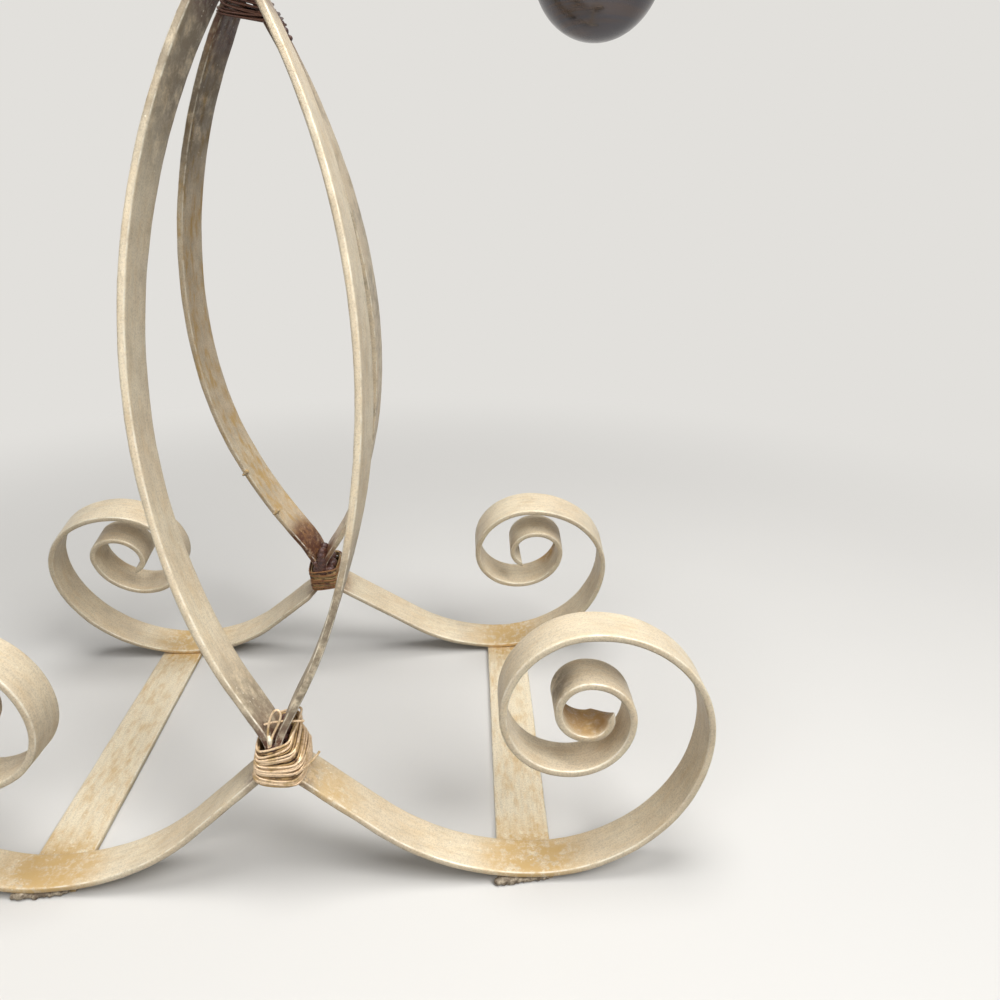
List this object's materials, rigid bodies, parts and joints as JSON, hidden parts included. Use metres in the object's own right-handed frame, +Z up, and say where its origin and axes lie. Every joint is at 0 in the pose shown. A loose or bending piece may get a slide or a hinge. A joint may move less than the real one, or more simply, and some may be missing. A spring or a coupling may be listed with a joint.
{
  "type": "candelabra",
  "caption": "Wrought-iron table candelabra: scrolled flat-bar feet and bowed uprights bound with wire carry arched arms with lift-out candle cups.",
  "frame": {"origin": "on the floor, in the middle of the object's bounding box", "axes": "+Z up, +X to the right and -Y towards the viewer as the object stands in the picture"},
  "size_m": [0.3608, 0.2118, 0.4072],
  "materials": {
    "aged_iron": "waxed wrought iron with rubbed gold on the edges and rust at the joints",
    "binding_wire": "rusted iron wire with rubbed gold",
    "dark_bronze": "glossy dark bronze"
  },
  "bodies": {
    "stand": {"front_left_foot": "aged_iron", "front_right_foot": "aged_iron", "rear_left_foot": "aged_iron", "rear_right_foot": "aged_iron", "front_left_upright": "aged_iron", "front_right_upright": "aged_iron", "rear_left_upright": "aged_iron", "rear_right_upright": "aged_iron", "left_strap": "aged_iron", "right_strap": "aged_iron", "front_lower_binding": "binding_wire", "rear_lower_binding": "binding_wire", "front_upper_binding": "binding_wire", "rear_upper_binding": "binding_wire", "top_strap": "aged_iron", "left_arm": "aged_iron", "right_arm": "aged_iron", "left_cup_ring": "aged_iron", "right_cup_ring": "aged_iron"},
    "left_cup": {"left_cup": "dark_bronze"},
    "right_cup": {"right_cup": "dark_bronze"}
  },
  "joints": [
    {"name": "left_cup_lift", "type": "slide", "parent": "stand", "child": "left_cup", "axis": [0, 0, 1], "range_m": [0, 0.06]},
    {"name": "right_cup_lift", "type": "slide", "parent": "stand", "child": "right_cup", "axis": [0, 0, 1], "range_m": [0, 0.06]}
  ]
}
